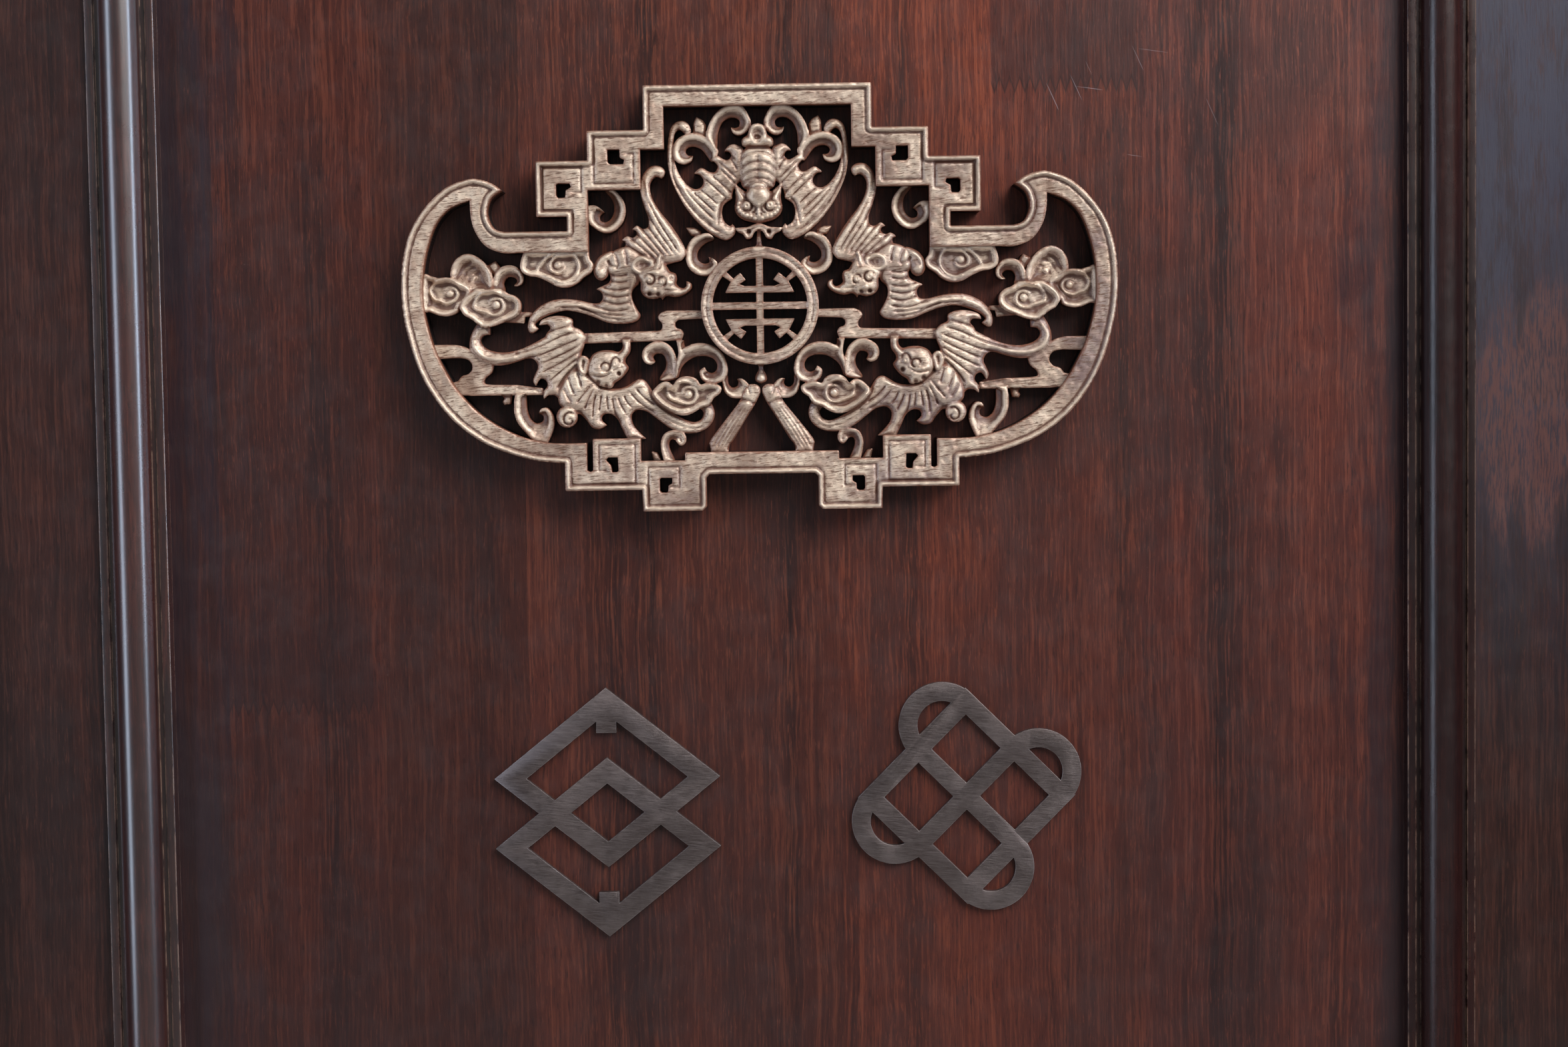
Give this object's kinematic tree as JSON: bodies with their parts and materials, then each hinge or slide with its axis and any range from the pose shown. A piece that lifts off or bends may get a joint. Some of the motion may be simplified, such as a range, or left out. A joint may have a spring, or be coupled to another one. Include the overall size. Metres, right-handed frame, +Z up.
{
  "type": "carved temple door",
  "caption": "Temple door leaf with its frame: lacquered panels, half-round mouldings, an openwork carved plaque, metal ornaments, ring pull and sliding bar.",
  "frame": {"origin": "centre of the whole part's box, at the underside of the threshold", "axes": "+X to the right seen from the front, +Y to the back, into the building, +Z up; the front with the carving faces -Y"},
  "size_m": [0.896, 0.1886, 2.178],
  "materials": {
    "lacquered_wood": "dark red-brown lacquer, satin, worn",
    "lacquered_board": "dark red-brown lacquer over boards, blotched and stained",
    "lacquered_moulding": "dark lacquer, arrises rubbed through",
    "gilded_carving": "gold brushed over dark lacquer, worn",
    "brushed_dark_metal": "vertical brushing, darkened",
    "dark_iron": "dark, rubbed at the edges",
    "hinge_steel": "satin, tarnished",
    "screw_steel": "satin"
  },
  "bodies": {
    "frame": {"hinge_jamb": "lacquered_wood", "lock_jamb": "lacquered_wood", "head_rail": "lacquered_wood", "threshold": "lacquered_wood", "stop_hinge_side": "lacquered_wood", "stop_lock_side": "lacquered_wood", "stop_head": "lacquered_wood", "hinge_upper_frame_plate": "hinge_steel", "hinge_middle_frame_plate": "hinge_steel", "hinge_lower_frame_plate": "hinge_steel", "hinge_pins": "hinge_steel", "jamb_hinge_screws": "screw_steel", "bar_keeper": "lacquered_wood", "keeper_screws": "screw_steel"},
    "leaf": {"bar_guide_inner": "lacquered_wood", "bar_guide_outer": "lacquered_wood", "bottom_rail": "lacquered_wood", "carved_plaque": "gilded_carving", "guide_screws": "screw_steel", "hinge_lower_leaf_plate": "hinge_steel", "hinge_middle_leaf_plate": "hinge_steel", "hinge_stile": "lacquered_wood", "hinge_upper_leaf_plate": "hinge_steel", "leaf_hinge_screws": "screw_steel", "lock_rail": "lacquered_wood", "lock_stile": "lacquered_wood", "lower_back_bead_bottom": "lacquered_moulding", "lower_back_bead_left": "lacquered_moulding", "lower_back_bead_right": "lacquered_moulding", "lower_back_bead_top": "lacquered_moulding", "lower_moulding_bottom": "lacquered_moulding", "lower_moulding_left": "lacquered_moulding", "lower_moulding_right": "lacquered_moulding", "lower_moulding_top": "lacquered_moulding", "lower_panel": "lacquered_board", "ornament_left": "brushed_dark_metal", "ornament_right": "brushed_dark_metal", "plaque_screws": "screw_steel", "pull_rose": "dark_iron", "rose_nails": "screw_steel", "top_rail": "lacquered_wood", "upper_back_bead_bottom": "lacquered_moulding", "upper_back_bead_left": "lacquered_moulding", "upper_back_bead_right": "lacquered_moulding", "upper_back_bead_top": "lacquered_moulding", "upper_moulding_bottom": "lacquered_moulding", "upper_moulding_left": "lacquered_moulding", "upper_moulding_right": "lacquered_moulding", "upper_moulding_top": "lacquered_moulding", "upper_panel": "lacquered_board"},
    "pull_ring": {"pull_ring": "dark_iron"},
    "door_bar": {"door_bar": "lacquered_wood", "bar_knob": "lacquered_wood"}
  },
  "joints": [
    {"name": "leaf_hinge", "type": "hinge", "parent": "frame", "child": "leaf", "pos_m": [-0.4015, 0.05275, 0], "axis": [0, 0, 1], "range_deg": [0, 100]},
    {"name": "ring_swing", "type": "hinge", "parent": "leaf", "child": "pull_ring", "pos_m": [0.32925, -0.01725, 1], "axis": [-1, 0, 0], "range_deg": [0, 85]},
    {"name": "bar_slide", "type": "slide", "parent": "leaf", "child": "door_bar", "axis": [1, 0, 0], "range_m": [0, 0.035]}
  ]
}
